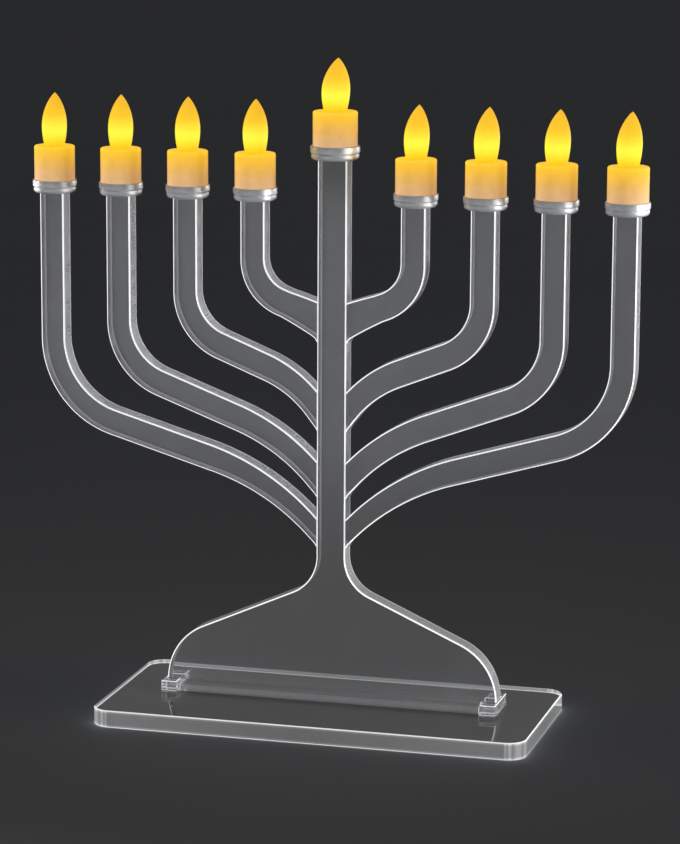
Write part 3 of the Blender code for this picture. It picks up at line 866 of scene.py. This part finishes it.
def cutMesh(mesh, cutters):
    # subtracts each cutter and returns the finished mesh
    body = bpy.data.objects.new("cutBody", mesh)
    bpy.context.scene.collection.objects.link(body)
    tools = []
    for cutter in cutters:
        tool = bpy.data.objects.new("cutTool", cutter)
        bpy.context.scene.collection.objects.link(tool)
        tools.append(tool)
        step = body.modifiers.new("cut", "BOOLEAN")
        step.operation = "DIFFERENCE"
        step.solver = "EXACT"
        step.object = tool
    graph = bpy.context.evaluated_depsgraph_get()
    made = bpy.data.meshes.new_from_object(body.evaluated_get(graph), depsgraph=graph)
    for tool in tools + [body]:
        bpy.data.objects.remove(tool)
    made.set_sharp_from_angle(angle=math.radians(30))
    return made


def makeUnitMesh(node, shellNode, switchNode):
    low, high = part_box(node)
    shellLow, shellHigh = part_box(shellNode)
    switchLow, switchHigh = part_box(switchNode)
    seat = shellLow.z
    middle = (shellLow + shellHigh) / 2
    capRadius = (high.x - low.x) / 2
    top = high.z - seat
    ledFoot = top - unit["ledTall"]
    door = unit["doorRadius"]
    groove = unit["groove"]
    capTop = unit["capThick"]
    box = unit["boxRadius"]
    boxTop = unit["boxTop"]
    post = unit["postRadius"]
    corners = [(0.0, 0.0, 0), (door, 0.0, unit["doorEdge"]), (door, groove, 0),
               (door + groove, groove, 0), (door + groove, 0.0, unit["doorEdge"]),
               (capRadius, 0.0, unit["capRounding"]), (capRadius, capTop, unit["edge"]),
               (box, capTop, unit["boxFoot"]), (box, boxTop, unit["boxEdge"]),
               (post, boxTop, unit["postFoot"]), (post, ledFoot, unit["edge"])]
    profile = roundCorners(corners, 4)
    ledStart = len(profile)
    flangeTop = ledFoot + unit["ledFlange"]
    flangeRadius = unit["ledRadius"] * unit["ledFlangeShare"]
    profile += [(flangeRadius, ledFoot), (flangeRadius, flangeTop), (unit["ledRadius"], flangeTop)]
    dome = arcPoints((0.0, top - unit["ledRadius"]), unit["ledRadius"], 0.0, math.pi / 2,
                     unit["ledSteps"])
    profile += dome[:-1] + [(0.0, top)]
    slots = [1 if index >= ledStart else 0 for index in range(len(profile))]
    mesh = turnedMesh(node + "_turned", profile, [whitePlastic, ledLens], slots=slots)
    # the switch slot runs on by its travel, and the coin slot turns the battery door
    travel = [joint["range_m"][1] for joint in frame["joints"]
              if joint["name"].endswith("switch_slide")][0]
    length = switchHigh.x - switchLow.x + travel + 2 * gap
    width = switchHigh.y - switchLow.y + 2 * gap
    deep = switchHigh.z - seat + gap
    across = (switchLow.y + switchHigh.y) / 2 - middle.y
    slotCutter = blockCutter((length, width, deep * 2), (0.0, across, 0.0))
    coinLength, coinWidth, coinDeep = unit["coinSlot"]
    coinCutter = blockCutter((coinLength, coinWidth, coinDeep * 2), (0.0, unit["coinShift"], 0.0))
    return cutMesh(mesh, [slotCutter, coinCutter])


slider = {"bevel": 0.0002, "ribs": 3, "ribDepth": 0.0003, "ribEdge": 0.00008, "endEdge": 0.0002,
          "topEdge": 0.0001}


def makeSwitchMesh(node, shellNode):
    # a ribbed thumb button, drawn about the middle of its candle
    low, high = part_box(node)
    shellLow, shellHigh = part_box(shellNode)
    middle = (shellLow + shellHigh) / 2
    origin = Vector((middle.x, middle.y, shellLow.z))
    start = low - origin
    end = high - origin
    ribs = slider["ribs"]
    pitch = (end.x - start.x) / (2 * ribs + 1)
    bottom = []
    for index in range(2 * ribs + 1):
        level = start.z if index % 2 == 0 else start.z + slider["ribDepth"]
        bottom.append((start.x + pitch * index, level, slider["ribEdge"]))
        bottom.append((start.x + pitch * (index + 1), level, slider["ribEdge"]))
    bottom[0] = (*bottom[0][:2], slider["endEdge"])
    bottom[-1] = (*bottom[-1][:2], slider["endEdge"])
    top = [(end.x, end.z, slider["topEdge"]), (start.x, end.z, slider["topEdge"])]
    outline = roundCorners(bottom + top, 3)
    return slabMesh(node + "_cut", outline, start.y, end.y, "Y", slider["bevel"], [blackPlastic] * 3)


def makeCandleSet(place):
    return {"cup": makeCupMesh(place + "_cup", place + "_candle_shell"),
            "shell": makeShellMesh(place + "_candle_shell", place + "_flame"),
            "flame": makeFlameMesh(place + "_flame", place + "_candle_shell"),
            "unit": makeUnitMesh(place + "_light_unit", place + "_candle_shell", place + "_switch"),
            "switch": makeSwitchMesh(place + "_switch", place + "_candle_shell")}


branchSet = makeCandleSet("left_outer")
centreSet = makeCandleSet("centre")
for candlePlace in candlePlaces:
    meshes = centreSet if candlePlace == "centre" else branchSet
    cupLow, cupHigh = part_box(candlePlace + "_cup")
    axis = (cupLow + cupHigh) / 2
    seatPoint = (axis.x, axis.y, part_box(candlePlace + "_candle_shell")[0].z)
    flameTurn = math.radians(90) if candlePlace.startswith("left") else 0.0
    candleBody = candlePlace + "_candle"
    placePiece("polished_" + candlePlace + "_cup", meshes["cup"], "root", candlePlace + "_cup",
               (axis.x, axis.y, cupLow.z))
    placePiece("ivory_" + candlePlace + "_shell", meshes["shell"], candleBody,
               candlePlace + "_candle_shell", seatPoint)
    placePiece("lit_" + candlePlace + "_flame", meshes["flame"], candleBody, candlePlace + "_flame",
               seatPoint, flameTurn)
    placePiece("white_" + candlePlace + "_light_unit", meshes["unit"], candleBody,
               candlePlace + "_light_unit", seatPoint)
    placePiece("ribbed_" + candlePlace + "_switch", meshes["switch"], candlePlace + "_switch",
               candlePlace + "_switch", seatPoint)
print("cups and candles made")


# floor, lights and camera

studio = {
    "floorSize": 60.0, "floorColour": (0.38, 0.385, 0.395), "worldColour": (0.052, 0.053, 0.056),
    "floorRough": 0.75, "floorSpecular": 0.2, "mottleScale": (3, 3, 3), "mottleLow": 0.97,
    # on: what the lamp lights; shown: whether its own image shows in what it lights
    "lamps": {
        "frontSoftbox": {"place": (-1.9, -1.7, 0.42), "aim": (0.0, 0.0, 0.34), "size": (1.4, 0.7),
                         "power": 6.0, "spread": 70, "on": "pieces", "shown": False},
        "frontPool": {"place": (-0.75, -2.2, 1.30), "aim": (-0.75, -2.2, 0.0), "size": (1.6, 2.6),
                      "power": 26.5, "spread": 50, "on": "all", "shown": True},
        "rightStrip": {"place": (1.7, -0.10, 0.27), "aim": (0.0, 0.0, 0.26), "size": (0.5, 0.42),
                       "power": 3.4, "spread": 60, "on": "pieces", "shown": False},
        "leftStrip": {"place": (-1.7, 0.2, 0.27), "aim": (0.0, 0.0, 0.26), "size": (0.5, 0.42),
                      "power": 1.3, "spread": 60, "on": "pieces", "shown": False},
        "backSoftbox": {"place": (1.5, 1.9, 0.40), "aim": (0.0, 0.0, 0.3), "size": (1.2, 0.6),
                        "power": 0.9, "spread": 60, "on": "pieces", "shown": True},
        "backCard": {"place": (-0.55, 2.2, 0.65), "aim": (0.0, 0.0, 0.0), "size": (1.8, 0.9),
                     "power": 0.6, "spread": 160, "on": "pieces", "shown": True},
        "overhead": {"place": (0.0, 0.0, 1.9), "aim": (0.0, 0.0, 0.0), "size": (1.2, 0.7),
                     "power": 0.3, "spread": 100, "on": "all", "shown": True},
        "cupRight": {"place": (1.7, -0.10, 0.27), "aim": (0.0, 0.0, 0.26), "size": (0.5, 0.42),
                     "power": 2.8, "spread": 60, "on": "cups", "shown": True},
        "cupLeft": {"place": (-1.7, 0.2, 0.27), "aim": (0.0, 0.0, 0.26), "size": (0.5, 0.42),
                    "power": 1.6, "spread": 60, "on": "cups", "shown": True},
    },
}


def makeFloor():
    half = studio["floorSize"] / 2
    mesh = bpy.data.meshes.new("floor")
    mesh.from_pydata([(-half, -half, 0), (half, -half, 0), (half, half, 0), (-half, half, 0)], [],
                     [(0, 1, 2, 3)])
    floor = bpy.data.objects.new("floor", mesh)
    bpy.context.scene.collection.objects.link(floor)
    material, tree, shader = newMaterial("floorPaint", studio["floorColour"], studio["floorRough"])
    shader["Specular IOR Level"].default_value = studio["floorSpecular"]
    mottle = stretchedNoise(tree, studio["mottleScale"], 3.0)
    shade = rescale(tree, mottle, 0.3, 0.7, studio["mottleLow"], 1.0)
    join(tree, scaledColour(tree, shade, studio["floorColour"]), shader["Base Color"])
    mesh.materials.append(material)


def makeLights():
    # most lamps light only the pieces, so that the ground stays dark and even
    lit = {"pieces": bpy.data.collections.new("litPieces"),
           "cups": bpy.data.collections.new("litCups")}
    for piece in pieces:
        lit["pieces"].objects.link(piece)
        if piece.name.endswith("_cup"):
            lit["cups"].objects.link(piece)
    world = bpy.data.worlds.new("studio")
    world.use_nodes = True
    background = world.node_tree.nodes["Background"]
    background.inputs["Color"].default_value = (*studio["worldColour"], 1.0)
    bpy.context.scene.world = world
    for name, lampLook in studio["lamps"].items():
        lamp = bpy.data.lights.new(name, "AREA")
        lamp.shape = "RECTANGLE"
        lamp.size, lamp.size_y = lampLook["size"]
        lamp.energy = lampLook["power"]
        lamp.spread = math.radians(lampLook["spread"])
        holder = bpy.data.objects.new(name, lamp)
        bpy.context.scene.collection.objects.link(holder)
        holder.location = lampLook["place"]
        facing = Vector(lampLook["aim"]) - Vector(lampLook["place"])
        holder.rotation_euler = facing.to_track_quat("-Z", "Y").to_euler()
        holder.visible_camera = False
        holder.visible_glossy = lampLook["shown"]
        holder.visible_transmission = lampLook["shown"]
        if lampLook["on"] != "all":
            holder.light_linking.receiver_collection = lit[lampLook["on"]]


view = {"azimuth": math.radians(15.2), "elevation": math.radians(11.22), "distance": 3.026,
        "target": (0.0055, 0.010, 0.2666), "roll": math.radians(0.28), "lens": 146.4,
        "clipEnd": 200.0}


def makeCamera():
    a = view["azimuth"]
    e = view["elevation"]
    back = Vector((math.sin(a) * math.cos(e), -math.cos(a) * math.cos(e), math.sin(e)))
    camera = bpy.data.cameras.new("camera")
    camera.lens = view["lens"]
    camera.clip_end = view["clipEnd"]
    holder = bpy.data.objects.new("camera", camera)
    bpy.context.scene.collection.objects.link(holder)
    holder.location = Vector(view["target"]) + back * view["distance"]
    level = (-back).to_track_quat("-Z", "Y")
    holder.rotation_mode = "QUATERNION"
    holder.rotation_quaternion = level @ Quaternion((0.0, 0.0, 1.0), view["roll"])
    bpy.context.scene.camera = holder


makeFloor()
makeLights()
makeCamera()
bpy.context.scene.view_settings.view_transform = "Standard"
print("floor, lights and camera ready")
